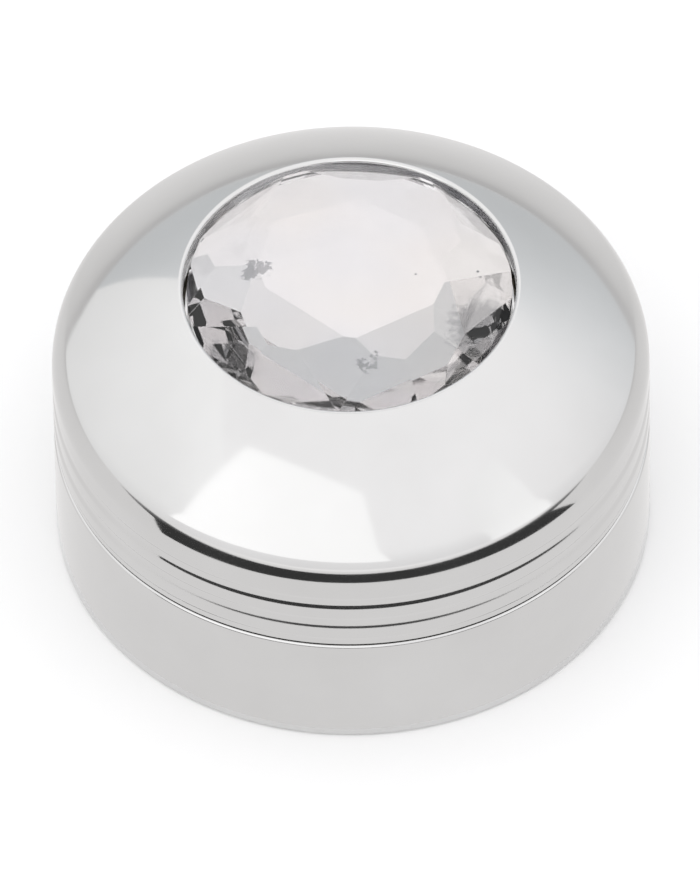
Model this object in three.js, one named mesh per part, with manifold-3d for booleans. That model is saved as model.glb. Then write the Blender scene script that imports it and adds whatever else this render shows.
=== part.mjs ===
// A two-piece twist grinder for dried herbs: a polished, plated metal base with a domed lid that
// turns on it by hand, and a faceted glass jewel with a mirror back set into the top of the lid.
//
// Millimetres, +Z up. The origin is the centre of the flat ring that the base stands on.
// The common axis of the lid, the base and the jewel is Z.

import * as THREE from 'three';
import { mergeVertices } from 'three/addons/utils/BufferGeometryUtils.js';
import Module from 'manifold-3d';

const wasm = await Module();
wasm.setup();

// ---------------------------------------------------------------- driving dimensions

const OUTER_R = 25;                 // outside radius of the lid and the base
const SHOULDER_Z = 19;              // where the upright side of the lid turns into its shoulder
const SHOULDER_FILLET = 4.25;       // radius of that shoulder
const DOME_R = 33.5;                // sphere that the top of the lid is turned to
const BASE_TOP_Z = 11.45;           // shoulder of the base, where the lid's edge comes down
const RUNNING_GAP = 0.02;           // between faces that slide on each other
const PRESS_GAP = 0.03;             // round a piece that is pressed or glued in

const GROOVE_WIDTH = 1;             // decorative grooves round the lid
const GROOVE_DEPTH = 0.12;
const GROOVE_PITCH = 2.5;
const TOP_GROOVE_Z = 16.4;          // lower edge of the uppermost groove

const SEAT_R = 13.9;                // bore in the dome that takes the jewel
const SEAT_EDGE = 0.3;              // rounding of the edge of that bore
const SEAT_FLOOR_Z = 26.1;
const GLUE_THICKNESS = 0.25;
const FOIL_THICKNESS = 0.15;
const JEWEL_R = 13.6;
const GIRDLE_HEIGHT = 0.95;         // upright edge of the jewel
const CROWN_HEIGHT = 3.3;           // from the girdle up to the flat table of the jewel

const CHAMBER_R = 21.2;             // inside of the base
const FLOOR_Z = 3;                  // top of the base's floor
const FOOT_RECESS = 0.5;            // hollow in the underside, inside the ring it stands on
const FOOT_R = 20.5;                // inner radius of that ring
const SPIGOT_R = 22.6;              // collar of the base that centres the lid
const SPIGOT_TOP_Z = 15.8;
const LID_BORE_R = 22.9;            // inside of the lid round the collar
const LID_EDGE_Z = 11.62;           // lower edge of the lid
const RING_OUTER_R = 24.25;         // glide ring between lid and base
const RING_INNER_R = 22.75;
const RING_THICKNESS = 0.5;

const PLATE_R = 21.7;               // tooth plate screwed up into the lid
const PLATE_Z = 17.5;               // its lower face
const PLATE_THICKNESS = 3;
const HOLLOW_R = 19.5;              // hollow of the lid above the plate
const HOLLOW_TOP_Z = 23;

const POST_R = 5.5;                 // post of the base and boss of the plate, each with a magnet
const POST_TOP_Z = 10.9;
const BOSS_END_Z = 11.4;
const MAGNET_R = 4;
const MAGNET_THICKNESS = 2.5;

const TOOTH_HALF_WIDTH = 1.4;       // centre to corner of the diamond-shaped teeth
const TOOTH_TIP_HALF_WIDTH = 0.5;
const TOOTH_TIP_HEIGHT = 1.2;
const TOOTH_SHANK_R = 1;
const BASE_TOOTH_TOP_Z = 14;
const LID_TOOTH_END_Z = 5;
const BASE_SHANK_LENGTH = 1.8;
const LID_SHANK_LENGTH = 2.2;

// The rings of teeth alternate between base and lid, so that every ring passes between two others.
const BASE_TOOTH_RINGS = [
  { name: 'inner', radius: 11.7, count: 6, start: 30 },
  { name: 'outer', radius: 18.3, count: 12, start: 15 },
];
const LID_TOOTH_RINGS = [
  { name: 'inner', radius: 8.4, count: 4, start: 45 },
  { name: 'outer', radius: 15, count: 8, start: 22.5 },
];

const SCREW_COUNT = 4;
const SCREW_RING_R = 18;
const SCREW_HEAD_R = 2.2;
const SCREW_HEAD_HEIGHT = 1.1;
const SCREW_R = 1.25;
const SCREW_LENGTH = 6.2;
const SCREW_SOCKET_R = 0.85;        // centre to corner of its hexagon socket
const SCREW_SOCKET_DEPTH = 0.7;
const SCREW_BOSS_R = 3;

// Facets ground on the jewel. They are not evenly spread, as on a stone cut by hand. Each has its
// azimuth, its tilt from level, and the radius and drop below the table of one point on it.
const UPPER_FACETS = [
  { azimuth: 16, tilt: 22, radius: 7.15, drop: 0 },
  { azimuth: 59, tilt: 20, radius: 7.05, drop: 0 },
  { azimuth: 108, tilt: 20, radius: 7.1, drop: 0 },
  { azimuth: 162, tilt: 21, radius: 7.5, drop: 0 },
  { azimuth: 196, tilt: 25, radius: 7.25, drop: 0 },
  { azimuth: 229, tilt: 14, radius: 6.05, drop: 0 },
  { azimuth: 258, tilt: 27, radius: 7.5, drop: 0 },
  { azimuth: 299, tilt: 16, radius: 7, drop: 0 },
  { azimuth: 338, tilt: 33, radius: 8, drop: 0 },
];
const LOWER_FACETS = [
  { azimuth: 37, tilt: 33, radius: 12.2, drop: 2.1 },
  { azimuth: 84, tilt: 33, radius: 12.3, drop: 2.1 },
  { azimuth: 134, tilt: 33, radius: 12.3, drop: 2.1 },
  { azimuth: 178, tilt: 33, radius: 12.3, drop: 2.1 },
  { azimuth: 214, tilt: 33, radius: 11, drop: 1.75 },
  { azimuth: 243, tilt: 36, radius: 10, drop: 1.2 },
  { azimuth: 280, tilt: 34, radius: 10.5, drop: 1.3 },
  { azimuth: 311, tilt: 36, radius: 11.2, drop: 1.8 },
];

const TURN_STEPS = 60;              // flats round a large turned piece
const SMALL_TURN_STEPS = 24;        // flats round a small one
const JEWEL_STEPS = 96;             // flats round the jewel's girdle

// ---------------------------------------------------------------- solids

const degrees = (angle) => angle * Math.PI / 180;

// Joins the shared corners of a geometry, drops triangles without area and turns its faces outward.
function closed(geometry) {
  geometry.deleteAttribute('normal');
  geometry.deleteAttribute('uv');
  const merged = mergeVertices(geometry, 1e-4);
  const position = merged.getAttribute('position');
  const index = merged.getIndex();
  const corner = (i) => new THREE.Vector3().fromBufferAttribute(position, i);
  const kept = [];
  let volume = 0;
  for (let i = 0; i < index.count; i += 3) {
    const [a, b, c] = [index.getX(i), index.getX(i + 1), index.getX(i + 2)];
    if (a !== b && b !== c && c !== a) {
      kept.push(a, b, c);
      volume += corner(a).dot(corner(b).cross(corner(c)));
    }
  }
  merged.setIndex(volume < 0 ? kept.reverse() : kept);
  return merged;
}

// A turned solid: the profile is a list of [radius, height] points.
function turned(profile, steps = TURN_STEPS) {
  const points = profile.map(([radius, height]) => new THREE.Vector2(radius, height));
  const lathe = new THREE.LatheGeometry(points, steps);
  return closed(lathe.rotateX(Math.PI / 2));
}

// A round or regular many-sided bar that stands on the height low and ends at high.
function bar(radius, low, high, sides = SMALL_TURN_STEPS, topRadius = radius) {
  const cylinder = new THREE.CylinderGeometry(topRadius, radius, high - low, sides);
  return closed(cylinder.rotateX(Math.PI / 2).translate(0, 0, (low + high) / 2));
}

function toSolid(geometry) {
  const vertProperties = new Float32Array(geometry.getAttribute('position').array);
  const triVerts = new Uint32Array(geometry.getIndex().array);
  return new wasm.Manifold(new wasm.Mesh({ numProp: 3, vertProperties, triVerts }));
}

function toGeometry(solid) {
  const mesh = solid.getMesh();
  const geometry = new THREE.BufferGeometry();
  geometry.setAttribute('position', new THREE.BufferAttribute(mesh.vertProperties, mesh.numProp));
  geometry.setIndex(new THREE.BufferAttribute(mesh.triVerts, 1));
  return geometry;
}

function cut(geometry, cutters) {
  return toGeometry(cutters.reduce((solid, cutter) => solid.subtract(toSolid(cutter)), toSolid(geometry)));
}

function joined(geometry, additions) {
  return toGeometry(additions.reduce((solid, addition) => solid.add(toSolid(addition)), toSolid(geometry)));
}

// Points on an arc about [radius, height], between two angles measured from the outward direction.
function arc(centreR, centreZ, arcRadius, fromAngle, toAngle, steps) {
  const points = [];
  for (let i = 0; i <= steps; i += 1) {
    const angle = degrees(fromAngle + (toAngle - fromAngle) * i / steps);
    points.push([centreR + arcRadius * Math.cos(angle), centreZ + arcRadius * Math.sin(angle)]);
  }
  return points;
}

// Places on a ring of pieces, each with its angle, going round from the start angle.
function ringPlaces({ radius, count, start }) {
  return Array.from({ length: count }, (_, i) => {
    const angle = degrees(start + 360 * i / count);
    return { x: radius * Math.cos(angle), y: radius * Math.sin(angle), angle };
  });
}

const screwPlaces = ringPlaces({ radius: SCREW_RING_R, count: SCREW_COUNT, start: 0 });

// ---------------------------------------------------------------- pieces of the lid

// One shallow hollow groove with its lower edge at the height given.
function grooveProfile(lowZ) {
  const half = GROOVE_WIDTH / 2;
  const radius = (half * half + GROOVE_DEPTH * GROOVE_DEPTH) / (2 * GROOVE_DEPTH);
  const halfAngle = Math.asin(half / radius) * 180 / Math.PI;
  const centreR = OUTER_R + radius - GROOVE_DEPTH;
  return arc(centreR, lowZ + half, radius, 180 + halfAngle, 180 - halfAngle, 4);
}

// The shoulder is a fillet that touches the upright side and the dome's sphere from inside.
function domeCentreZ() {
  const across = OUTER_R - SHOULDER_FILLET;
  const reach = DOME_R - SHOULDER_FILLET;
  return SHOULDER_Z - Math.sqrt(reach * reach - across * across);
}

function domeProfile() {
  const centreZ = domeCentreZ();
  const across = OUTER_R - SHOULDER_FILLET;
  const meeting = Math.atan2(SHOULDER_Z - centreZ, across) * 180 / Math.PI;
  const rimAngle = Math.acos((SEAT_R + SEAT_EDGE) / DOME_R) * 180 / Math.PI;
  const shoulder = arc(across, SHOULDER_Z, SHOULDER_FILLET, 0, meeting, 6);
  const dome = arc(0, centreZ, DOME_R, meeting, rimAngle, 6);
  return [...shoulder, ...dome.slice(1)];
}

function seatProfile(rim) {
  const edge = arc(SEAT_R + SEAT_EDGE, rim[1] - SEAT_EDGE, SEAT_EDGE, 110, 180, 3);
  return [...edge, [SEAT_R, SEAT_FLOOR_Z], [0, SEAT_FLOOR_Z]];
}

function lidShell() {
  const plateTop = PLATE_Z + PLATE_THICKNESS + RUNNING_GAP;
  const plateBore = PLATE_R + 10 * PRESS_GAP;
  const ringTop = BASE_TOP_Z + RING_THICKNESS;
  const lipR = RING_OUTER_R + 0.1;
  const grooveBottomR = OUTER_R - GROOVE_DEPTH;
  const lowGroove = TOP_GROOVE_Z - 2 * GROOVE_PITCH;
  const inside = [
    [0, HOLLOW_TOP_Z], [HOLLOW_R - 1, HOLLOW_TOP_Z], [HOLLOW_R, HOLLOW_TOP_Z - 1], [HOLLOW_R, plateTop],
    [plateBore, plateTop], [plateBore, PLATE_Z - 0.8], [LID_BORE_R, PLATE_Z - 1.2],
    [LID_BORE_R, ringTop], [lipR, ringTop], [lipR, LID_EDGE_Z],
  ];
  const outside = [
    [grooveBottomR - 0.1, LID_EDGE_Z], [grooveBottomR, LID_EDGE_Z + 0.1],
    [grooveBottomR, lowGroove + GROOVE_WIDTH / 2], ...grooveProfile(lowGroove).slice(-2),
    ...grooveProfile(TOP_GROOVE_Z - GROOVE_PITCH), ...grooveProfile(TOP_GROOVE_Z),
  ];
  const dome = domeProfile();
  const body = turned([...inside, ...outside, ...dome, ...seatProfile(dome.at(-1)).slice(1)]);
  const bosses = screwPlaces.map(({ x, y }) =>
    bar(SCREW_BOSS_R, plateTop, HOLLOW_TOP_Z + 0.5).translate(x, y, 0));
  const pilotTop = PLATE_Z + SCREW_LENGTH + 0.4;
  const pilots = screwPlaces.map(({ x, y }) =>
    bar(SCREW_R + PRESS_GAP, PLATE_Z, pilotTop, 12).translate(x, y, 0));
  return cut(joined(body, bosses), pilots);
}

// A block whose lower face lies on one facet: cutting it away grinds that facet.
function facetCutter({ azimuth, tilt, radius, drop }, tableZ) {
  const size = 5 * JEWEL_R;
  const block = new THREE.BoxGeometry(size, size, size).translate(0, 0, size / 2);
  block.rotateY(degrees(tilt)).translate(radius, 0, tableZ - drop);
  return closed(block.rotateZ(degrees(azimuth)));
}

function jewel() {
  const backZ = SEAT_FLOOR_Z + GLUE_THICKNESS + FOIL_THICKNESS;
  const tableZ = backZ + GIRDLE_HEIGHT + CROWN_HEIGHT;
  const blank = bar(JEWEL_R, backZ, tableZ, JEWEL_STEPS);
  return cut(blank, [...UPPER_FACETS, ...LOWER_FACETS].map((facet) => facetCutter(facet, tableZ)));
}

function jewelFoil() {
  const low = SEAT_FLOOR_Z + GLUE_THICKNESS;
  return bar(JEWEL_R - 0.1, low, low + FOIL_THICKNESS, TURN_STEPS);
}

function jewelGlue() {
  return bar(JEWEL_R - 0.4, SEAT_FLOOR_Z, SEAT_FLOOR_Z + GLUE_THICKNESS, TURN_STEPS);
}

// ---------------------------------------------------------------- teeth, screws and magnets

// A diamond-shaped tooth that stands up from its floor, with a round shank pressed into the floor.
function tooth(height, shankLength) {
  const wide = bar(TOOTH_HALF_WIDTH, 0, height - TOOTH_TIP_HEIGHT, 4);
  const tip = bar(TOOTH_HALF_WIDTH, height - TOOTH_TIP_HEIGHT, height, 4, TOOTH_TIP_HALF_WIDTH);
  const shank = bar(TOOTH_SHANK_R, -shankLength, 0.5, 12);
  return joined(wide, [tip, shank]);
}

function toothHoles(rings, faceZ, direction, shankLength) {
  const ends = [faceZ - direction, faceZ + direction * (shankLength + PRESS_GAP)];
  return rings.flatMap((ring) => ringPlaces(ring).map(({ x, y, angle }) =>
    bar(TOOTH_SHANK_R + PRESS_GAP, Math.min(...ends), Math.max(...ends), 12)
      .rotateZ(direction * angle).translate(x, y, 0)));
}

// A countersunk screw with a hexagon socket, head down at height zero and point up.
function screw() {
  const body = turned([
    [0, 0], [SCREW_HEAD_R, 0], [SCREW_HEAD_R, 0.15], [SCREW_R, SCREW_HEAD_HEIGHT],
    [SCREW_R, SCREW_LENGTH - 0.6], [SCREW_R - 0.6, SCREW_LENGTH], [0, SCREW_LENGTH],
  ], 12);
  return cut(body, [bar(SCREW_SOCKET_R, -0.5, SCREW_SOCKET_DEPTH, 6)]);
}

function screwHole({ x, y }) {
  const head = SCREW_HEAD_R + PRESS_GAP;
  const shank = SCREW_R + 2 * PRESS_GAP;
  return turned([
    [0, -1], [head, -1], [head, 0.15 + PRESS_GAP], [shank, SCREW_HEAD_HEIGHT + PRESS_GAP],
    [shank, PLATE_THICKNESS + 1], [0, PLATE_THICKNESS + 1],
  ], 12).translate(x, y, PLATE_Z);
}

function toothPlate() {
  const top = PLATE_Z + PLATE_THICKNESS;
  const pocketTop = BOSS_END_Z + MAGNET_THICKNESS + PRESS_GAP;
  const pocketR = MAGNET_R + PRESS_GAP;
  const body = turned([
    [0, pocketTop], [pocketR, pocketTop], [pocketR, BOSS_END_Z], [POST_R - 0.3, BOSS_END_Z],
    [POST_R, BOSS_END_Z + 0.3], [POST_R, PLATE_Z], [PLATE_R - 0.3, PLATE_Z], [PLATE_R, PLATE_Z + 0.3],
    [PLATE_R, top], [0, top],
  ]);
  const holes = toothHoles(LID_TOOTH_RINGS, PLATE_Z, 1, LID_SHANK_LENGTH);
  return cut(body, [...holes, ...screwPlaces.map(screwHole)]);
}

// ---------------------------------------------------------------- base and glide ring

function baseShell() {
  const pocketR = MAGNET_R + PRESS_GAP;
  const pocketFloor = POST_TOP_Z - MAGNET_THICKNESS - PRESS_GAP;
  const body = turned([
    [0, FOOT_RECESS], [FOOT_R - 0.5, FOOT_RECESS], [FOOT_R, 0],
    ...arc(OUTER_R - 0.4, 0.4, 0.4, -90, 0, 3), ...arc(OUTER_R - 0.25, BASE_TOP_Z - 0.25, 0.25, 0, 90, 4),
    [SPIGOT_R, BASE_TOP_Z], [SPIGOT_R, SPIGOT_TOP_Z - 0.4], [SPIGOT_R - 0.4, SPIGOT_TOP_Z],
    [CHAMBER_R + 0.3, SPIGOT_TOP_Z], [CHAMBER_R, SPIGOT_TOP_Z - 0.3],
    ...arc(CHAMBER_R - 1.2, FLOOR_Z + 1.2, 1.2, 0, -90, 3), [POST_R, FLOOR_Z],
    [POST_R, POST_TOP_Z - 0.3], [POST_R - 0.3, POST_TOP_Z], [pocketR, POST_TOP_Z],
    [pocketR, pocketFloor], [0, pocketFloor],
  ]);
  return cut(body, toothHoles(BASE_TOOTH_RINGS, FLOOR_Z, -1, BASE_SHANK_LENGTH));
}

function glideRing() {
  const low = BASE_TOP_Z + RUNNING_GAP;
  const high = BASE_TOP_Z + RING_THICKNESS - RUNNING_GAP;
  return turned([
    [RING_INNER_R, low], [RING_OUTER_R, low], [RING_OUTER_R, high], [RING_INNER_R, high],
    [RING_INNER_R, low],
  ]);
}

// ---------------------------------------------------------------- assembly

const grinder = new THREE.Group();
const lid = new THREE.Group();
const base = new THREE.Group();
grinder.add(base, lid);

function place(group, name, geometry, [color, roughness, metalness]) {
  const material = new THREE.MeshStandardMaterial({ color, roughness, metalness });
  const mesh = new THREE.Mesh(geometry, material);
  mesh.name = name;
  group.add(mesh);
  return mesh;
}

const CHROME = [0xdadcde, 0.08, 1];
const ALUMINIUM = [0xc4c7c9, 0.35, 1];
const STEEL = [0xb4b6b8, 0.3, 1];
const NICKEL = [0xc9c7c0, 0.2, 1];
const NYLON = [0xf1f0ea, 0.6, 0];
const CLEAR_GLASS = [0xf4f1f4, 0.03, 0];
const MIRROR_FOIL = [0xe8e8ea, 0.05, 1];
const GLUE = [0xd8d2bd, 0.5, 0];

place(lid, 'lid_shell', lidShell(), CHROME);
place(lid, 'jewel', jewel(), CLEAR_GLASS);
place(lid, 'jewel_foil', jewelFoil(), MIRROR_FOIL);
place(lid, 'jewel_glue', jewelGlue(), GLUE);
place(lid, 'tooth_plate', toothPlate(), ALUMINIUM);
place(lid, 'lid_magnet', bar(MAGNET_R, BOSS_END_Z, BOSS_END_Z + MAGNET_THICKNESS), NICKEL);
place(grinder, 'glide_ring', glideRing(), NYLON);
place(base, 'base_shell', baseShell(), CHROME);
place(base, 'base_magnet', bar(MAGNET_R, POST_TOP_Z - MAGNET_THICKNESS, POST_TOP_Z), NICKEL);

screwPlaces.forEach(({ x, y }, i) => {
  place(lid, `plate_screw_${i + 1}`, screw(), STEEL).position.set(x, y, PLATE_Z);
});

BASE_TOOTH_RINGS.forEach((ring) => ringPlaces(ring).forEach(({ x, y, angle }, i) => {
  const height = BASE_TOOTH_TOP_Z - FLOOR_Z;
  const mesh = place(base, `base_tooth_${ring.name}_${i + 1}`, tooth(height, BASE_SHANK_LENGTH), STEEL);
  mesh.position.set(x, y, FLOOR_Z);
  mesh.rotation.z = angle;
}));

// The lid's teeth hang down, so each is turned over about its radial direction.
LID_TOOTH_RINGS.forEach((ring) => ringPlaces(ring).forEach(({ x, y, angle }, i) => {
  const height = PLATE_Z - LID_TOOTH_END_Z;
  const mesh = place(lid, `lid_tooth_${ring.name}_${i + 1}`, tooth(height, LID_SHANK_LENGTH), STEEL);
  mesh.position.set(x, y, PLATE_Z);
  mesh.rotation.set(Math.PI, 0, angle, 'ZYX');
}));

export default grinder;
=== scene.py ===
"""Looks of the two-piece twist grinder: polished plated lid and base, a faceted glass jewel over a
mirror foil in the lid, and the turned, toothed inside that shows when the lid is lifted.

Sizes, profiles and meshes are in millimetres, until finish_mesh() turns them into Blender's metres.
Material nodes work in metres, so a length in millimetres goes through mm() on its way to them.
"""

import math

import bmesh
import bpy
from mathutils import Matrix, Vector


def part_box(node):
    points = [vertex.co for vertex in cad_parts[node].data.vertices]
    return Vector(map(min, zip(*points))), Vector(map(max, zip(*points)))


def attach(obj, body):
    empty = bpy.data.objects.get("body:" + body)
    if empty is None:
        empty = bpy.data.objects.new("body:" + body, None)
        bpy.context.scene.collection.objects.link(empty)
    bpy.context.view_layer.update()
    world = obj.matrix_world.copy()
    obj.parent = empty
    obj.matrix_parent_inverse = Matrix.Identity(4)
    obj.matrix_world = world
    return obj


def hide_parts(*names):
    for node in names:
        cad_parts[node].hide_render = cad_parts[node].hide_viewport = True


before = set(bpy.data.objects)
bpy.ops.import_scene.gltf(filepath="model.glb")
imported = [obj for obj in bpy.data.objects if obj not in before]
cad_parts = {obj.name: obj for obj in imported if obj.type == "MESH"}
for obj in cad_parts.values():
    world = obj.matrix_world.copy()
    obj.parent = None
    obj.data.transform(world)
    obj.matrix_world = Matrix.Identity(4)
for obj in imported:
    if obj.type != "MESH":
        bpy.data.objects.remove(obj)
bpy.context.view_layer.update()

MM = 0.001


def mm(value):
    return value * MM


def box_mm(node):
    low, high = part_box(node)
    return low / MM, high / MM


# ---------------------------------------------------------------- sizes, from the frame where it has them

LID_LOW, LID_HIGH = box_mm("lid_shell")
BASE_HIGH = box_mm("base_shell")[1]
RING_LOW, RING_HIGH = box_mm("glide_ring")
PLATE_HIGH = box_mm("tooth_plate")[1]
JEWEL_LOW, JEWEL_HIGH = box_mm("jewel")
FOIL_LOW, FOIL_HIGH = box_mm("jewel_foil")
GLUE_LOW, GLUE_HIGH = box_mm("jewel_glue")

OUTER_R = LID_HIGH.x
LID_EDGE_Z = LID_LOW.z
SHOULDER_Z = 19.0
SHOULDER_FILLET = 4.25
DOME_R = 33.5
SEAT_R = 13.9
SEAT_EDGE = 0.3
SEAT_FLOOR_Z = GLUE_LOW.z
SEAT_WALL_TOP_Z = 28.6   # the wall is dull from the jewel's girdle up to here
GIRDLE_HEIGHT = 0.95
GIRDLE_TOP_Z = JEWEL_LOW.z + GIRDLE_HEIGHT

GROOVE_WIDTH = 1.0       # between the middles of its two flanks
LOWER_FLANK = 0.76       # heights that its two rounded flanks take
UPPER_FLANK = 0.54
GROOVE_DEPTH = 0.12
GROOVE_PITCH = 2.5
TOP_GROOVE_Z = 16.4

TOUCH_GAP = 0.02         # left between pieces that touch
POCKET_GAP = 0.03        # left round magnets and screws in their pockets

BASE_TOP_Z = RING_LOW.z - TOUCH_GAP
SPIGOT_TOP_Z = BASE_HIGH.z
SPIGOT_R = 22.6
CHAMBER_R = 21.2
CORNER_R = 1.2           # between the chamber's wall and its floor
FLOOR_Z = 3.0
FOOT_R = 20.5
FOOT_RECESS = 0.5
LID_BORE_R = 22.9
PLATE_R = PLATE_HIGH.x
PLATE_TOP_Z = PLATE_HIGH.z
PLATE_Z = PLATE_TOP_Z - 3.0
PLATE_BORE_R = PLATE_R + 0.3
HOLLOW_R = 19.5
HOLLOW_TOP_Z = 23.0
POST_R = 5.5
POST_TOP_Z = box_mm("base_magnet")[1].z
BOSS_END_Z = box_mm("lid_magnet")[0].z
MAGNET_R = 4.0
MAGNET_THICKNESS = 2.5
MAGNET_EDGE = 0.2

TOOTH_HALF_WIDTH = 1.4
TOOTH_TIP_HALF_WIDTH = 0.5
TOOTH_TIP_HEIGHT = 1.2
BASE_TOOTH_TOP_Z = 14.0
LID_TOOTH_END_Z = 5.0
BASE_TOOTH_RINGS = (("inner", 11.7, 6, 30.0), ("outer", 18.3, 12, 15.0))
LID_TOOTH_RINGS = (("inner", 8.4, 4, 45.0), ("outer", 15.0, 8, 22.5))

SCREW_COUNT = 4
SCREW_RING_R = 18.0
SCREW_HEAD_R = 2.2
SCREW_HEAD_HEIGHT = 1.1
SCREW_R = 1.25
SCREW_LENGTH = 6.2
SCREW_SOCKET_R = 0.85
SCREW_SOCKET_DEPTH = 0.7
SCREW_BOSS_R = 3.0       # the boss in the lid's hollow that each screw goes into
SCREW_RIM = 0.15         # the straight rim of its head
SCREW_CHAMFER = 0.6
DISC_FACE_GAP = 0.01     # left under and over the thin discs behind the jewel

JEWEL_R = JEWEL_HIGH.x
JEWEL_BACK_Z = JEWEL_LOW.z
TABLE_Z = JEWEL_HIGH.z
RIDGE_BEVEL = 0.02       # what polishing takes off the ridges between the facets
FACET_SMOOTH_ANGLE = 3.0

ROUND_STEPS = 288        # flats round the lid and base, fine enough for mirror reflections
DISC_STEPS = 144         # flats round the jewel, the plate and the discs
SCREW_STEPS = 40
BOSS_STEPS = 32
LONG_FLAT = 0.9          # a flat longer than this gets extra rings, so that its shading stays flat
FLAT_SUPPORT = 0.06      # how far those rings are from its ends


# ---------------------------------------------------------------- mesh helpers


def arc(centre_r, centre_z, radius, start, end, steps):
    """Points on an arc, between two angles in degrees measured from the outward direction."""
    points = []
    for i in range(steps + 1):
        angle = math.radians(start + (end - start) * i / steps)
        points.append((centre_r + radius * math.cos(angle), centre_z + radius * math.sin(angle)))
    return points


def rounded(profile, radius, steps=4):
    """The same open profile with each inner corner rounded, where its sides are long enough."""
    out = [profile[0]]
    for before, corner, after in zip(profile, profile[1:], profile[2:]):
        here = Vector(corner)
        back = Vector(before) - here
        on = Vector(after) - here
        turn = math.pi - back.angle(on)
        reach = min(radius, back.length * 0.45, on.length * 0.45)
        if turn < math.radians(20):
            out.append(corner)
            continue
        first = here + back.normalized() * reach
        last = here + on.normalized() * reach
        for i in range(steps + 1):
            t = i / steps
            out.append(tuple(first * (1 - t) ** 2 + here * (2 * t * (1 - t)) + last * t**2))
    out.append(profile[-1])
    return out


def supported(profile):
    """Adds a point near each end of every long flat, so that smooth shading leaves the flat alone."""
    out = [profile[0]]
    for a, b in zip(profile, profile[1:]):
        start, end = Vector(a), Vector(b)
        along = end - start
        if along.length > LONG_FLAT:
            step = along.normalized() * FLAT_SUPPORT
            out += [tuple(start + step), tuple(end - step)]
        out.append(b)
    return out


def finish_mesh(name, bm, material, smooth_angle=35.0):
    """Makes the object of a bmesh in millimetres, with edges sharper than the angle left sharp."""
    bmesh.ops.remove_doubles(bm, verts=bm.verts, dist=1e-5)
    bmesh.ops.recalc_face_normals(bm, faces=bm.faces)
    bmesh.ops.scale(bm, vec=Vector((MM, MM, MM)), verts=bm.verts)
    mesh = bpy.data.meshes.new(name)
    bm.to_mesh(mesh)
    bm.free()
    for polygon in mesh.polygons:
        polygon.use_smooth = True
    mesh.set_sharp_from_angle(angle=math.radians(smooth_angle))
    materials = material if isinstance(material, (list, tuple)) else [material]
    for entry in materials:
        mesh.materials.append(entry)
    piece = bpy.data.objects.new(name, mesh)
    bpy.context.scene.collection.objects.link(piece)
    return piece


def spin(bm, profile, steps, zone=None):
    """Turns a profile of (radius, height) points about Z. A profile off the axis is closed on itself.

    zone gives the material index of a face from the middle of its stretch of the profile.
    """
    on_axis = profile[0][0] < 1e-6
    points = profile if on_axis else [*profile, profile[0]]
    rings = []
    for radius, height in points:
        if radius < 1e-6:
            rings.append([bm.verts.new((0, 0, height))])
            continue
        angles = [2 * math.pi * i / steps for i in range(steps)]
        rings.append([bm.verts.new((radius * math.cos(a), radius * math.sin(a), height)) for a in angles])
    for (a, b), low, high in zip(zip(points, points[1:]), rings, rings[1:]):
        middle = ((a[0] + b[0]) / 2, (a[1] + b[1]) / 2)
        for i in range(steps):
            j = (i + 1) % steps
            corners = [low[i % len(low)], low[j % len(low)], high[j % len(high)], high[i % len(high)]]
            face = bm.faces.new(list(dict.fromkeys(corners)))
            face.material_index = zone(*middle) if zone else 0


def turned(name, profile, material, steps=ROUND_STEPS, zone=None):
    bm = bmesh.new()
    spin(bm, supported(profile), steps, zone)
    return finish_mesh(name, bm, material)


def add_spun(bm, profile, steps, place, zone=0):
    """Adds to the mesh a solid turned about the vertical through a place, all in one material."""
    extra = bmesh.new()
    spin(extra, profile, steps)
    bmesh.ops.translate(extra, verts=extra.verts, vec=place)
    for face in extra.faces:
        face.material_index = zone
    joined = bpy.data.meshes.new("joined")
    extra.to_mesh(joined)
    extra.free()
    bm.from_mesh(joined)
    bpy.data.meshes.remove(joined)


def ring_places(radius, count, start):
    """(x, y, angle) of pieces spread round a ring."""
    places = []
    for i in range(count):
        angle = math.radians(start) + 2 * math.pi * i / count
        places.append((radius * math.cos(angle), radius * math.sin(angle), angle))
    return places


def cut_away(piece, cutter):
    """Takes the cutter's shape out of the piece and deletes the cutter."""
    modifier = piece.modifiers.new("cut", "BOOLEAN")
    modifier.operation = "DIFFERENCE"
    modifier.solver = "EXACT"
    modifier.object = cutter
    graph = bpy.context.evaluated_depsgraph_get()
    mesh = bpy.data.meshes.new_from_object(piece.evaluated_get(graph))
    piece.modifiers.clear()
    old = piece.data
    mesh.name = old.name
    piece.data = mesh
    bpy.data.meshes.remove(old)
    bpy.data.objects.remove(cutter)


# ---------------------------------------------------------------- material helpers


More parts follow.
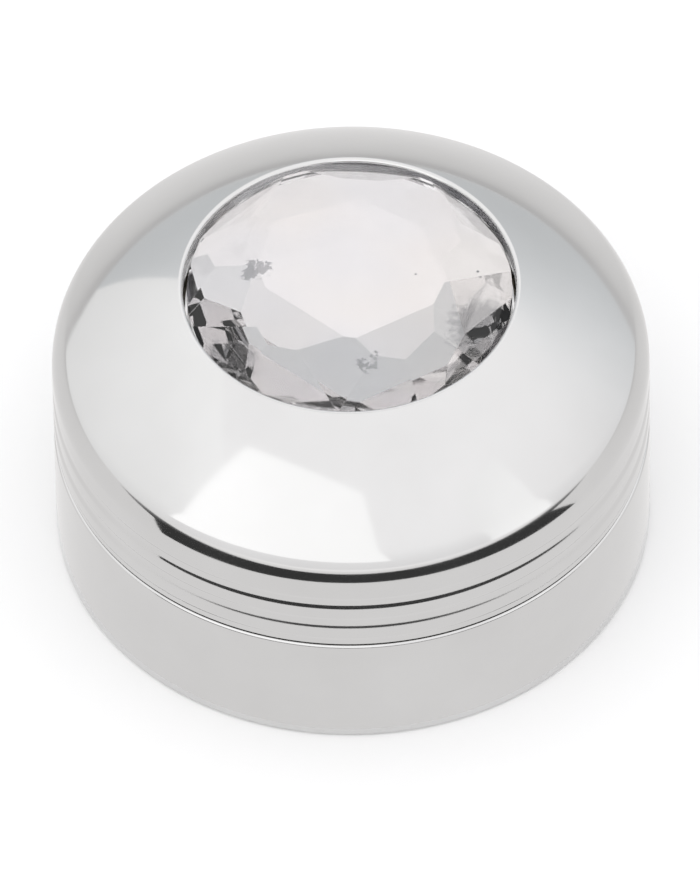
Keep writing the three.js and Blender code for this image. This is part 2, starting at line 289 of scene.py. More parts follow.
class Surface:
    """A material with a Principled shader, and short names for the nodes that feed it."""

    def __init__(self, name):
        self.material = bpy.data.materials.new(name)
        self.material.use_nodes = True
        self.tree = self.material.node_tree
        self.shader = self.tree.nodes["Principled BSDF"]
        self.place = self.node("ShaderNodeTexCoord").outputs["Object"]

    def node(self, kind, **values):
        made = self.tree.nodes.new(kind)
        for key, value in values.items():
            setattr(made, key, value)
        return made

    def feed(self, socket, source):
        """A number or colour is set on the socket, and another node's output is linked to it."""
        if isinstance(source, bpy.types.NodeSocket):
            self.tree.links.new(source, socket)
        else:
            socket.default_value = source

    def maths(self, operation, a, b=0.0):
        made = self.node("ShaderNodeMath", operation=operation)
        self.feed(made.inputs[0], a)
        self.feed(made.inputs[1], b)
        return made.outputs[0]

    def spread(self, value, low, high, to_low, to_high):
        made = self.node("ShaderNodeMapRange")
        self.feed(made.inputs["Value"], value)
        made.inputs["From Min"].default_value = low
        made.inputs["From Max"].default_value = high
        made.inputs["To Min"].default_value = to_low
        made.inputs["To Max"].default_value = to_high
        return made.outputs["Result"]

    def noise(self, vector, scale, detail=3.0, roughness=0.5):
        made = self.node("ShaderNodeTexNoise")
        self.feed(made.inputs["Vector"], vector)
        made.inputs["Scale"].default_value = scale
        made.inputs["Detail"].default_value = detail
        made.inputs["Roughness"].default_value = roughness
        return made.outputs["Fac"]

    def scaled(self, vector, factors):
        made = self.node("ShaderNodeVectorMath", operation="MULTIPLY")
        self.feed(made.inputs[0], vector)
        made.inputs[1].default_value = factors
        return made.outputs[0]

    def round_place(self, around, outward, upward):
        """Coordinates that run round, out from and along the Z axis, each with its own scale."""
        split = self.node("ShaderNodeSeparateXYZ")
        self.feed(split.inputs[0], self.place)
        x, y, z = split.outputs
        angle = self.maths("ARCTAN2", y, x)
        squares = self.maths("ADD", self.maths("MULTIPLY", x, x), self.maths("MULTIPLY", y, y))
        radius = self.maths("SQRT", squares)
        joined = self.node("ShaderNodeCombineXYZ")
        self.feed(joined.inputs[0], self.maths("MULTIPLY", angle, around))
        self.feed(joined.inputs[1], self.maths("MULTIPLY", radius, outward))
        self.feed(joined.inputs[2], self.maths("MULTIPLY", z, upward))
        return joined.outputs[0]

    def tint(self, factor, dark, light):
        """A colour between the two given, by the factor."""
        made = self.node("ShaderNodeMix", data_type="RGBA")
        self.feed(made.inputs["Factor"], factor)
        ends = [socket for socket in made.inputs if socket.type == "RGBA"]
        for socket, colour in zip(ends, (dark, light)):
            socket.default_value = (*colour, 1.0)
        return next(socket for socket in made.outputs if socket.type == "RGBA")

    def bump(self, height, distance, strength=1.0, under=None):
        made = self.node("ShaderNodeBump")
        self.feed(made.inputs["Height"], height)
        made.inputs["Distance"].default_value = distance
        made.inputs["Strength"].default_value = strength
        if under:
            self.feed(made.inputs["Normal"], under)
        return made.outputs["Normal"]

    def set(self, **sockets):
        """Feeds the shader's sockets; a name's underscores stand for spaces."""
        for name, source in sockets.items():
            self.feed(self.shader.inputs[name.replace("_", " ")], source)
        return self


def bright_plating():
    """Polished bright plating: a slow haze, fine wiping marks round the axis and a slight ripple."""
    s = Surface("bright_plating")
    haze = s.noise(s.place, 110.0, 4.0, 0.55)
    wipes = s.noise(s.round_place(5.0, 5200.0, 5200.0), 1.0, 2.0, 0.6)
    ripple = s.noise(s.place, 190.0, 2.0)
    rough = s.maths("ADD", s.spread(haze, 0.35, 0.7, 0.07, 0.11), s.spread(wipes, 0.4, 0.75, 0.0, 0.02))
    normal = s.bump(wipes, 0.0000004, 0.5, s.bump(ripple, 0.000012, 0.5))
    colour = s.tint(s.spread(haze, 0.3, 0.7, 0.0, 1.0), (0.655, 0.652, 0.65), (0.685, 0.683, 0.682))
    return s.set(Base_Color=colour, Metallic=1.0, Roughness=rough, Normal=normal).material


def satin_plating():
    """The plated inside and underside, left as turned: fine rings from the tool, less polish."""
    s = Surface("satin_plating")
    rings = s.noise(s.round_place(0.6, 7000.0, 7000.0), 1.0, 2.0, 0.7)
    haze = s.noise(s.place, 160.0, 3.0)
    rough = s.maths("ADD", s.spread(rings, 0.3, 0.7, 0.2, 0.3), s.spread(haze, 0.35, 0.7, 0.0, 0.08))
    colour = s.tint(haze, (0.5, 0.5, 0.5), (0.6, 0.598, 0.59))
    normal = s.bump(rings, 0.000006, 0.6)
    return s.set(Base_Color=colour, Metallic=1.0, Roughness=rough, Normal=normal).material


def seat_wall():
    """The narrow bore round the jewel: dull from the cutter, with painted shade that darkens it behind and
    to the right.
    """
    s = Surface("seat_wall")
    rings = s.noise(s.round_place(1.2, 4000.0, 4000.0), 1.0, 2.0, 0.7)
    # Painted shade: the wall's colour goes nearly black behind and to the right, with a noise mottle in the
    # dark.
    shade_mottle = s.spread(s.noise(s.place, 330.0, 4.0), 0.35, 0.7, 0.7, 1.0)
    split = s.node("ShaderNodeSeparateXYZ")
    s.feed(split.inputs[0], s.place)
    behind = s.spread(split.outputs[1], -mm(6), mm(4), 0.0, 1.0)
    right = s.spread(split.outputs[0], -mm(4), mm(9), 0.45, 1.0)
    painted_shade = s.maths("MULTIPLY", shade_mottle, s.maths("MULTIPLY", behind, right))
    colour = s.tint(painted_shade, (0.66, 0.658, 0.665), (0.08, 0.08, 0.09))
    rough = s.spread(rings, 0.3, 0.7, 0.16, 0.3)
    return s.set(Base_Color=colour, Metallic=1.0, Roughness=rough, Normal=s.bump(rings, 0.000006)).material


def turned_aluminium():
    """Bare aluminium as it leaves the lathe, with the tool's fine rings."""
    s = Surface("turned_aluminium")
    rings = s.noise(s.round_place(0.5, 5200.0, 5200.0), 1.0, 2.0, 0.7)
    cloud = s.noise(s.place, 240.0, 4.0)
    rough = s.spread(rings, 0.3, 0.7, 0.28, 0.42)
    colour = s.tint(cloud, (0.62, 0.625, 0.63), (0.74, 0.74, 0.745))
    normal = s.bump(rings, 0.000008, 0.7)
    return s.set(Base_Color=colour, Metallic=1.0, Roughness=rough, Normal=normal).material


def ground_steel(name, dark, light):
    """Steel ground along its length, with faint straight marks and a little stain."""
    s = Surface(name)
    marks = s.noise(s.scaled(s.place, (5000.0, 5000.0, 350.0)), 1.0, 2.0, 0.6)
    stain = s.noise(s.place, 500.0, 4.0)
    rough = s.maths("ADD", s.spread(marks, 0.3, 0.7, 0.22, 0.34), s.spread(stain, 0.5, 0.8, 0.0, 0.1))
    normal = s.bump(marks, 0.000006, 0.6)
    colour = s.tint(stain, dark, light)
    return s.set(Base_Color=colour, Metallic=1.0, Roughness=rough, Normal=normal).material


def nickel():
    """The magnets' nickel plate, slightly cloudy and scuffed."""
    s = Surface("nickel_plate")
    cloud = s.noise(s.place, 420.0, 4.0)
    scuffs = s.noise(s.scaled(s.place, (900.0, 7000.0, 900.0)), 1.0, 2.0, 0.7)
    rough = s.maths("ADD", s.spread(cloud, 0.3, 0.7, 0.14, 0.24), s.spread(scuffs, 0.6, 0.8, 0.0, 0.15))
    colour = s.tint(cloud, (0.6, 0.57, 0.52), (0.7, 0.67, 0.61))
    return s.set(Base_Color=colour, Metallic=1.0, Roughness=rough, Normal=s.bump(scuffs, 0.000004)).material


def nylon():
    """Natural nylon, off-white, with the rings of its turning."""
    s = Surface("nylon")
    cloud = s.noise(s.place, 300.0, 4.0)
    rings = s.noise(s.round_place(1.0, 6000.0, 6000.0), 1.0, 2.0)
    colour = s.tint(cloud, (0.78, 0.77, 0.73), (0.88, 0.875, 0.85))
    s.set(Base_Color=colour, Roughness=s.spread(rings, 0.3, 0.7, 0.42, 0.58))
    return s.set(Normal=s.bump(rings, 0.000008), Subsurface_Weight=0.1).material


def jewel_glass():
    """Clear glass, faintly clouded by handling, with polished facets."""
    s = Surface("jewel_glass")
    smear = s.noise(s.place, 260.0, 3.0)
    s.set(Base_Color=(0.985, 0.98, 0.98, 1.0), Roughness=s.spread(smear, 0.5, 0.8, 0.0, 0.005))
    return s.set(IOR=1.5, Transmission_Weight=1.0).material


# Where damp has crept under the foil and dulled it: x, y and radius of each patch.
TARNISH_MM = ((10.8, -3.6, 3.2), (1.6, -7.4, 0.5), (-7.4, 2.2, 0.7), (-9.6, -6.4, 2.2))


def mirror_foil():
    """Silvered foil with a slow cloudiness, a few tarnished patches and some dark specks."""
    s = Surface("mirror_foil")
    cloud = s.noise(s.place, 180.0, 3.0)
    ragged = s.noise(s.place, 1500.0, 3.0, 0.6)
    clean = s.spread(cloud, 0.3, 0.7, 0.97, 1.0)
    for x, y, radius in TARNISH_MM:
        from_centre = s.node("ShaderNodeVectorMath", operation="DISTANCE")
        s.feed(from_centre.inputs[0], s.place)
        from_centre.inputs[1].default_value = (mm(x), mm(y), FOIL_HIGH.z * MM)
        wander = s.spread(ragged, 0.3, 0.7, -mm(0.7), mm(0.7))
        reach = s.maths("ADD", from_centre.outputs["Value"], wander)
        spot = s.spread(reach, mm(radius) * 0.7, mm(radius) * 1.15, 0.5, 1.0)
        clean = s.maths("MULTIPLY", clean, spot)
    dots = s.node("ShaderNodeTexVoronoi")
    s.feed(dots.inputs["Vector"], s.place)
    dots.inputs["Scale"].default_value = 210.0
    clean = s.maths("MULTIPLY", clean, s.spread(dots.outputs["Distance"], 0.02, 0.035, 0.25, 1.0))
    warmth = s.spread(s.noise(s.place, 95.0, 1.0), 0.38, 0.62, 0.0, 1.0)
    silver = s.tint(warmth, (0.678, 0.668, 0.676), (0.692, 0.67, 0.66))
    shade = s.tint(clean, (0.04, 0.05, 0.07), (1.0, 1.0, 1.0))
    colour = s.node("ShaderNodeVectorMath", operation="MULTIPLY")
    s.feed(colour.inputs[0], silver)
    s.feed(colour.inputs[1], shade)
    rough = s.spread(cloud, 0.3, 0.8, 0.01, 0.03)
    return s.set(Base_Color=colour.outputs[0], Metallic=1.0, Roughness=rough).material


def cured_glue():
    """Cured resin glue, yellowish and uneven."""
    s = Surface("cured_glue")
    cloud = s.noise(s.place, 500.0, 4.0)
    colour = s.tint(cloud, (0.55, 0.5, 0.38), (0.72, 0.68, 0.55))
    s.set(Base_Color=colour, Roughness=s.spread(cloud, 0.3, 0.7, 0.35, 0.6))
    return s.set(Normal=s.bump(cloud, 0.00003)).material


# ---------------------------------------------------------------- lid and base shells


def groove(low_z):
    """One shallow groove of the lid's side, from its lower edge up, with softly polished flanks."""
    steps = 14
    points = []
    flanks = (
        (low_z, LOWER_FLANK, 0, GROOVE_DEPTH),
        (low_z + GROOVE_WIDTH, UPPER_FLANK, GROOVE_DEPTH, 0),
    )
    for middle, height, from_depth, to_depth in flanks:
        for i in range(steps + 1):
            t = i / steps
            ease = t * t * (3 - 2 * t)
            radius = OUTER_R - from_depth - (to_depth - from_depth) * ease
            points.append((radius, middle + (t - 0.5) * height))
    return points


def dome():
    """The shoulder's fillet and the sphere of the dome, up to the rounded edge of the jewel's seat."""
    across = OUTER_R - SHOULDER_FILLET
    centre_z = SHOULDER_Z - math.sqrt((DOME_R - SHOULDER_FILLET) ** 2 - across**2)
    meeting = math.degrees(math.atan2(SHOULDER_Z - centre_z, across))
    rim = math.degrees(math.acos((SEAT_R + SEAT_EDGE) / DOME_R))
    shoulder = arc(across, SHOULDER_Z, SHOULDER_FILLET, 0, meeting, 24)
    top = arc(0, centre_z, DOME_R, meeting, rim, 28)
    edge = arc(SEAT_R + SEAT_EDGE, top[-1][1] - SEAT_EDGE, SEAT_EDGE, rim, 180, 12)
    return [*shoulder, *top[1:], *edge[1:]]


def lid_zone(radius, height):
    """0 is the bright outside, 1 what the closed lid hides, and 2 the wall of the jewel's seat."""
    in_bore = radius < LID_BORE_R + 0.2 and height < PLATE_Z
    in_hollow = radius < PLATE_BORE_R + 0.1 and height < HOLLOW_TOP_Z + 0.1
    if in_bore or in_hollow:
        return 1
    return 2 if radius < SEAT_R + 0.01 and GIRDLE_TOP_Z < height < SEAT_WALL_TOP_Z else 0


def make_lid_shell(plating):
    """The lid's one turned profile, from the hollow inside, down and round to the jewel's seat."""
    ring_top = RING_HIGH.z + TOUCH_GAP
    lip_r = RING_HIGH.x + 0.1
    bottom_r = OUTER_R - GROOVE_DEPTH
    low_groove = TOP_GROOVE_Z - 2 * GROOVE_PITCH
    plate_top = PLATE_TOP_Z + TOUCH_GAP
    inside = rounded([
        (0, HOLLOW_TOP_Z), (HOLLOW_R - 1, HOLLOW_TOP_Z), (HOLLOW_R, HOLLOW_TOP_Z - 1),
        (HOLLOW_R, plate_top), (PLATE_BORE_R, plate_top), (PLATE_BORE_R, PLATE_Z - 0.8),
        (LID_BORE_R, PLATE_Z - 1.2),
        (LID_BORE_R, ring_top), (lip_r, ring_top), (lip_r, LID_EDGE_Z), (bottom_r, LID_EDGE_Z),
        (bottom_r, low_groove + GROOVE_WIDTH / 2),
    ], 0.1)
    low_half = [p for p in groove(low_groove) if p[1] > low_groove + GROOVE_WIDTH / 2 + 1e-6]
    side = [*low_half, *groove(TOP_GROOVE_Z - GROOVE_PITCH), *groove(TOP_GROOVE_Z)]
    seat = [
        (SEAT_R, GIRDLE_TOP_Z), (SEAT_R, SEAT_FLOOR_Z + 0.15), (SEAT_R - 0.15, SEAT_FLOOR_Z),
        (0, SEAT_FLOOR_Z),
    ]
    boss_top = HOLLOW_TOP_Z + 0.5
    boss = [(0, plate_top), (SCREW_BOSS_R, plate_top), (SCREW_BOSS_R, boss_top), (0, boss_top)]
    bm = bmesh.new()
    spin(bm, supported([*inside, *side, *dome(), *seat]), ROUND_STEPS, lid_zone)
    for x, y, _ in ring_places(SCREW_RING_R, SCREW_COUNT, 0.0):
        add_spun(bm, boss, BOSS_STEPS, (x, y, 0), zone=1)
    piece = finish_mesh("lid_shell_polished", bm, plating)
    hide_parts("lid_shell")
    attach(piece, "lid")


def is_inside_base(radius, height):
    """1 for the chamber and the recess of the foot, which keep their turned finish, and 0 outside."""
    chamber = radius < SPIGOT_R + 0.01 and height > FLOOR_Z - 0.1
    under = height < FOOT_RECESS + 0.01 and radius < FOOT_R - 0.2
    return 1 if chamber or under else 0


def make_base_shell(plating):
    """The cup: foot, side, spigot for the lid, chamber, and the post that holds its magnet."""
    pocket_r = MAGNET_R + POCKET_GAP
    pocket_floor = POST_TOP_Z - MAGNET_THICKNESS - POCKET_GAP
    under = rounded([(0, FOOT_RECESS), (FOOT_R - 0.5, FOOT_RECESS), (FOOT_R, 0), (OUTER_R - 0.4, 0)], 0.15)
    low_edge = arc(OUTER_R - 0.4, 0.4, 0.4, -90, 0, 10)
    side = [*low_edge, *arc(OUTER_R - 0.25, BASE_TOP_Z - 0.25, 0.25, 0, 90, 10)]
    inside = rounded([
        side[-1], (SPIGOT_R, BASE_TOP_Z), (SPIGOT_R, SPIGOT_TOP_Z), (CHAMBER_R, SPIGOT_TOP_Z),
        (CHAMBER_R, FLOOR_Z + CORNER_R),
    ], 0.3)
    floor = arc(CHAMBER_R - CORNER_R, FLOOR_Z + CORNER_R, CORNER_R, 0, -90, 8)
    post = rounded([
        floor[-1], (POST_R, FLOOR_Z), (POST_R, POST_TOP_Z), (pocket_r, POST_TOP_Z),
        (pocket_r, pocket_floor), (0, pocket_floor),
    ], 0.2)
    profile = [*under[:-1], *side, *inside[1:-1], *floor, *post[1:]]
    piece = turned("base_shell_polished", profile, plating, zone=is_inside_base)
    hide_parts("base_shell")
    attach(piece, "base")


def make_glide_ring(material):
    """The plain ring of square section that the lid turns on."""
    inner_r = SPIGOT_R + 0.15
    outer_r = RING_HIGH.x
    low, high = RING_LOW.z, RING_HIGH.z
    middle = (low + high) / 2
    profile = rounded([
        (inner_r, middle), (inner_r, low), (outer_r, low), (outer_r, high), (inner_r, high),
        (inner_r, middle),
    ], 0.12)
    piece = turned("glide_ring_nylon", profile[:-1], material)
    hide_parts("glide_ring")
    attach(piece, "glide")


# ---------------------------------------------------------------- jewel, foil and glue

# The stone is cut by hand, so its facets are not evenly spread. Each has its azimuth, its tilt from
# level, and the radius and drop below the table of one point on it.
FACETS = (
    (16, 22, 7.15, 0.0), (59, 20, 7.05, 0.0), (108, 20, 7.1, 0.0), (162, 21, 7.5, 0.0),
    (196, 25, 7.25, 0.0), (229, 14, 6.05, 0.0), (258, 27, 7.5, 0.0), (299, 16, 7.0, 0.0),
    (338, 33, 8.0, 0.0), (37, 33, 12.2, 2.1), (84, 33, 12.3, 2.1), (134, 33, 12.3, 2.1),
    (178, 33, 12.3, 2.1), (214, 33, 11.0, 1.75), (243, 36, 10.0, 1.2), (280, 34, 10.5, 1.3),
    (311, 36, 11.2, 1.8),
)


def grind(bm, point, normal):
    """Grinds the solid flat: cuts off what is outside the plane and closes the cut with one face."""
    everything = [*bm.verts, *bm.edges, *bm.faces]
    made = bmesh.ops.bisect_plane(
        bm, geom=everything, dist=1e-6, plane_co=point, plane_no=normal, clear_outer=True
    )
    rim = [e for e in made["geom_cut"] if isinstance(e, bmesh.types.BMEdge)]
    if len(rim) > 2:
        bmesh.ops.contextual_create(bm, geom=rim)


def jewel_blank(bm, radius):
    """A flat round blank, with its top and back each as one face."""
    spin(bm, [(0, JEWEL_BACK_Z), (radius, JEWEL_BACK_Z), (radius, TABLE_Z), (0, TABLE_Z)], DISC_STEPS)
    flat = [f for f in bm.faces if abs(f.normal.z) > 0.5 or len(f.verts) == 3]
    bmesh.ops.dissolve_faces(bm, faces=[f for f in flat if f.calc_center_median().z < JEWEL_BACK_Z + 0.1])
    bm.faces.ensure_lookup_table()
    flat = [f for f in bm.faces if len(f.verts) == 3]
    bmesh.ops.dissolve_faces(bm, faces=flat)


def make_jewel(material):
    """Grinds each facet on the blank, then takes the sharpness off the ridges between them."""
    bm = bmesh.new()
    jewel_blank(bm, JEWEL_R - TOUCH_GAP)
    for azimuth, tilt, radius, drop in FACETS:
        angle = math.radians(azimuth)
        lean = math.radians(tilt)
        outward = Vector((math.cos(angle), math.sin(angle), 0))
        normal = outward * math.sin(lean) + Vector((0, 0, math.cos(lean)))
        grind(bm, outward * radius + Vector((0, 0, TABLE_Z - drop)), normal)
    crown = [f for f in bm.faces if f.normal.z > 0.2]
    ridges = [
        e for e in bm.edges
        if len(e.link_faces) == 2 and all(f in crown for f in e.link_faces) and e.calc_length() > 0.4
    ]
    bmesh.ops.bevel(bm, geom=ridges, offset=RIDGE_BEVEL, segments=1, affect="EDGES", clamp_overlap=True)
    piece = finish_mesh("jewel_cut", bm, material, FACET_SMOOTH_ANGLE)
    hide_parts("jewel")
    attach(piece, "lid")


def make_disc(name, node, body, material, radius, low, high, edge=0.05):
    """A round disc between two heights: foil, glue or magnet."""
    profile = rounded([(0, low), (radius, low), (radius, high), (0, high)], edge)
    piece = turned(name, profile, material, DISC_STEPS)
    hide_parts(node)
    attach(piece, body)


# ---------------------------------------------------------------- tooth plate, screws and teeth


def screw_profile(extra=0.0):
    """A countersunk screw, head down at height zero; extra makes the hole for it."""
    return [
        (0, 0), (SCREW_HEAD_R + extra, 0), (SCREW_HEAD_R + extra, SCREW_RIM),
        (SCREW_R + extra, SCREW_HEAD_HEIGHT), (SCREW_R + extra, SCREW_LENGTH - SCREW_CHAMFER),
        (SCREW_R - SCREW_CHAMFER + extra, SCREW_LENGTH), (0, SCREW_LENGTH),
    ]


def make_tooth_plate(material):
    """The plate with its boss, the pocket of the lid's magnet and four countersunk holes."""
    pocket_top = BOSS_END_Z + MAGNET_THICKNESS + POCKET_GAP
    pocket_r = MAGNET_R + POCKET_GAP
    profile = rounded([
        (0, pocket_top), (pocket_r, pocket_top), (pocket_r, BOSS_END_Z), (POST_R, BOSS_END_Z),
        (POST_R, PLATE_Z), (PLATE_R, PLATE_Z), (PLATE_R, PLATE_TOP_Z), (0, PLATE_TOP_Z),
    ], 0.3)
    piece = turned("tooth_plate_turned", profile, material, DISC_STEPS)
    hole = [(0, -1), (SCREW_HEAD_R + POCKET_GAP, -1), *screw_profile(POCKET_GAP)[2:]]
    bm = bmesh.new()
    for x, y, _ in ring_places(SCREW_RING_R, SCREW_COUNT, 0.0):
        add_spun(bm, hole, SCREW_STEPS, (x, y, PLATE_Z))
    cut_away(piece, finish_mesh("plate_holes", bm, material))
    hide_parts("tooth_plate")
    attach(piece, "lid")


def make_screw(index, x, y, material):
    """One screw of the tooth plate, with a hexagon socket sunk in its head."""
    bm = bmesh.new()
    spin(bm, rounded(screw_profile(), 0.08, 3), SCREW_STEPS)
    bmesh.ops.translate(bm, verts=bm.verts, vec=(x, y, PLATE_Z))
    piece = finish_mesh(f"plate_screw_steel_{index}", bm, material)
    bm = bmesh.new()
    bmesh.ops.create_cone(
        bm, cap_ends=True, segments=6, radius1=SCREW_SOCKET_R, radius2=SCREW_SOCKET_R,
        depth=2 * SCREW_SOCKET_DEPTH, matrix=Matrix.Translation((x, y, PLATE_Z)),
    )
    cut_away(piece, finish_mesh("socket", bm, material))
    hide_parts(f"plate_screw_{index}")
    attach(piece, "lid")


def tooth_mesh(bm, height):
    """A diamond-shaped tooth that stands up from height zero, with ground edges and a blunt tip."""
    rings = [
        (TOOTH_HALF_WIDTH, -0.3), (TOOTH_HALF_WIDTH, height - TOOTH_TIP_HEIGHT),
        (TOOTH_TIP_HALF_WIDTH, height),
    ]
    levels = []
    for half, z in rings:
        corners = [math.pi / 2 * i for i in range(4)]
        levels.append([bm.verts.new((half * math.cos(a), half * math.sin(a), z)) for a in corners])
    for low, high in zip(levels, levels[1:]):
        for i in range(4):
            bm.faces.new([low[i], low[(i + 1) % 4], high[(i + 1) % 4], high[i]])
    bm.faces.new(levels[-1])
    bm.faces.new(list(reversed(levels[0])))
    top_edges = [e for e in bm.edges if max(v.co.z for v in e.verts) > 0]
    bmesh.ops.bevel(bm, geom=top_edges, offset=0.1, segments=3, affect="EDGES", profile=0.5)


def make_tooth(name, node, body, place, face_z, height, down, material):
    """One tooth, standing up from a face or hanging down from it, its ridge turned outward."""
    x, y, angle = place
    bm = bmesh.new()
    tooth_mesh(bm, height)
    turn = Matrix.Rotation(angle, 4, "Z")
    if down:
        turn = turn @ Matrix.Rotation(math.pi, 4, "X")
    bmesh.ops.transform(bm, matrix=Matrix.Translation((x, y, face_z)) @ turn, verts=bm.verts)
    piece = finish_mesh(name, bm, material, 40.0)
    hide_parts(node)
    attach(piece, body)


def make_teeth(material):
    """The two rings of teeth in the base, and the two in the lid that pass between them."""
    for name, radius, count, start in BASE_TOOTH_RINGS:
        for i, place in enumerate(ring_places(radius, count, start), 1):
            node = f"base_tooth_{name}_{i}"
            height = BASE_TOOTH_TOP_Z - FLOOR_Z
            make_tooth(f"{node}_ground", node, "base", place, FLOOR_Z, height, False, material)
    for name, radius, count, start in LID_TOOTH_RINGS:
        for i, place in enumerate(ring_places(radius, count, start), 1):
            node = f"lid_tooth_{name}_{i}"
            height = PLATE_Z - LID_TOOTH_END_Z
            make_tooth(f"{node}_ground", node, "lid", place, PLATE_Z, height, True, material)


# ---------------------------------------------------------------- stage, light and camera


FLOOR_R = 6000
FLOOR_GREY = 0.94


def pale_floor():
    """Matt, nearly white, with the faintest cloudiness."""
    s = Surface("pale_floor")
    cloud = s.noise(s.place, 3.0, 3.0)
    dark = FLOOR_GREY * 0.99
    colour = s.tint(cloud, (dark, dark, dark), (FLOOR_GREY, FLOOR_GREY, FLOOR_GREY))
    return s.set(Base_Color=colour, Roughness=0.9).material


def make_floor():
    bm = bmesh.new()
    bmesh.ops.create_circle(bm, cap_ends=True, segments=96, radius=FLOOR_R)
    finish_mesh("floor", bm, pale_floor())


def card_material(name, strengths, along, colour=(1.0, 1.0, 1.0, 1.0)):
    """Light that changes evenly over a card, between its two ends along an axis (0 is X, 2 is Z)."""
    material = bpy.data.materials.new(name)
    material.use_nodes = True
    tree = material.node_tree
    tree.nodes.clear()
    out = tree.nodes.new("ShaderNodeOutputMaterial")
    glow = tree.nodes.new("ShaderNodeEmission")
    place = tree.nodes.new("ShaderNodeTexCoord")
    split = tree.nodes.new("ShaderNodeSeparateXYZ")
    spread = tree.nodes.new("ShaderNodeMapRange")
    glow.inputs["Color"].default_value = colour
    spread.inputs["To Min"].default_value = strengths[0]
    spread.inputs["To Max"].default_value = strengths[1]
    tree.links.new(place.outputs["Generated"], split.inputs[0])
    tree.links.new(split.outputs[along], spread.inputs["Value"])
    tree.links.new(spread.outputs["Result"], glow.inputs["Strength"])
    tree.links.new(glow.outputs[0], out.inputs[0])
    return material


def direction(azimuth, elevation):
    """Unit vector; azimuth 0 is the front, -Y, and 90 the right, +X."""
    a, e = math.radians(azimuth), math.radians(elevation)
    return Vector((math.sin(a) * math.cos(e), -math.cos(a) * math.cos(e), math.sin(e)))


def make_card(name, outline, strengths, along=0):
    """A studio card given by its outline, seen only in reflections and as light."""
    bm = bmesh.new()
    bm.faces.new([bm.verts.new(corner) for corner in outline])
    card = finish_mesh(name, bm, card_material(name, strengths, along))
    card.visible_camera = False
    card.visible_shadow = False
    return card


TENT_MM = 600.0            # how far the panels of the light tent are from the object

# Panels of the tent: corners as (azimuth, elevation) seen from the object, the light at the two ends
# of the panel, and the axis that it changes along (0 is X, 2 is Z).
TENT_PANELS = (
    ("front_left_panel", ((-63, 12), (12, 16), (5, 56), (-63, 56)), (1.5, 1.38), 0),
    ("front_right_panel", ((45, 0), (68, 0), (68, 45), (45, 45)), (1.18, 1.36), 0),
    ("left_panel", ((-140, 0), (-63, 0), (-63, 48), (-140, 48)), (1.02, 1.26), 2),
)


def make_tent():
    for name, corners, strengths, along in TENT_PANELS:
        outline = [direction(a, e) * TENT_MM + Vector((0, 0, SHOULDER_Z)) for a, e in corners]
        make_card(name, outline, strengths, along)


GAP_Z = 0.8                # the dark gap lies this far over the floor
GAP_NEAR_Y = -54           # its near and far edges, in front of the object
GAP_FAR_Y = -135
GAP_MIDDLE_X = 110         # to here it is fully dark, and from here it fades
GAP_END_X = 600
GAP_ROUND_R = 52.5         # its near edge bends round the object, a little closer at the sides
GAP_CLOSER = 1.5
GAP_LIGHT = 0.05
GAP_FADED_LIGHT = 0.9


def gap_round_object():
    """The bent near edge, from the right (azimuth 67) to the left (azimuth -56)."""
    points = []
    for azimuth in range(67, -59, -3):
        radius = GAP_ROUND_R - GAP_CLOSER * (azimuth / 64) ** 2
        place = direction(azimuth, 0) * radius
        points.append((place.x, place.y, GAP_Z))
    return points


def make_dark_gap():
    """The dark gap between the table and the tent: it curves round the object and fades at its sides."""
    centre = [
        (-GAP_MIDDLE_X, GAP_FAR_Y, GAP_Z), (GAP_MIDDLE_X, GAP_FAR_Y, GAP_Z),
        (GAP_MIDDLE_X, GAP_NEAR_Y, GAP_Z), *gap_round_object(), (-GAP_MIDDLE_X, GAP_NEAR_Y, GAP_Z),
    ]
    left = [
        (-GAP_END_X, GAP_FAR_Y, GAP_Z), (-GAP_MIDDLE_X, GAP_FAR_Y, GAP_Z),
        (-GAP_MIDDLE_X, GAP_NEAR_Y, GAP_Z), (-GAP_END_X, GAP_NEAR_Y, GAP_Z),
    ]
    right = [(-x, y, z) for x, y, z in reversed(left)]
    gaps = (
        ("dark_gap", centre, GAP_LIGHT, GAP_LIGHT),
        ("dark_gap_left", left, GAP_FADED_LIGHT, GAP_LIGHT),
        ("dark_gap_right", right, GAP_LIGHT, GAP_FADED_LIGHT),
    )
    for name, outline, start, end in gaps:
        make_card(name, outline, (start, end)).visible_diffuse = False


GLOW_PROFILE = ((OUTER_R + 0.3, 0.6), (500.0, 0.6), (560.0, SHOULDER_Z + 4))
GLOW_STRENGTHS = (1.2, 0.58)                # in front and behind
GLOW_COLOUR = (1.0, 0.99, 0.986, 1.0)
GLOW_STEPS = 96


def make_table_glow():
    """The table as the polished sides show it: a little darker than it looks, and more so behind.

    Its turned-up rim meets the foot of the light tent.
    """
    ring = bmesh.new()
    angles = [2 * math.pi * i / GLOW_STEPS for i in range(GLOW_STEPS)]
    levels = []
    for radius, height in GLOW_PROFILE:
        places = [(radius * math.cos(a), radius * math.sin(a), height) for a in angles]
        levels.append([ring.verts.new(place) for place in places])
    for low, high in zip(levels, levels[1:]):
        for i in range(GLOW_STEPS):
            j = (i + 1) % GLOW_STEPS
            ring.faces.new([low[i], high[i], high[j], low[j]])
    card = finish_mesh("table_glow", ring, card_material("table_glow", GLOW_STRENGTHS, 1, GLOW_COLOUR))
    card.visible_camera = False
    card.visible_shadow = False
    card.visible_diffuse = False


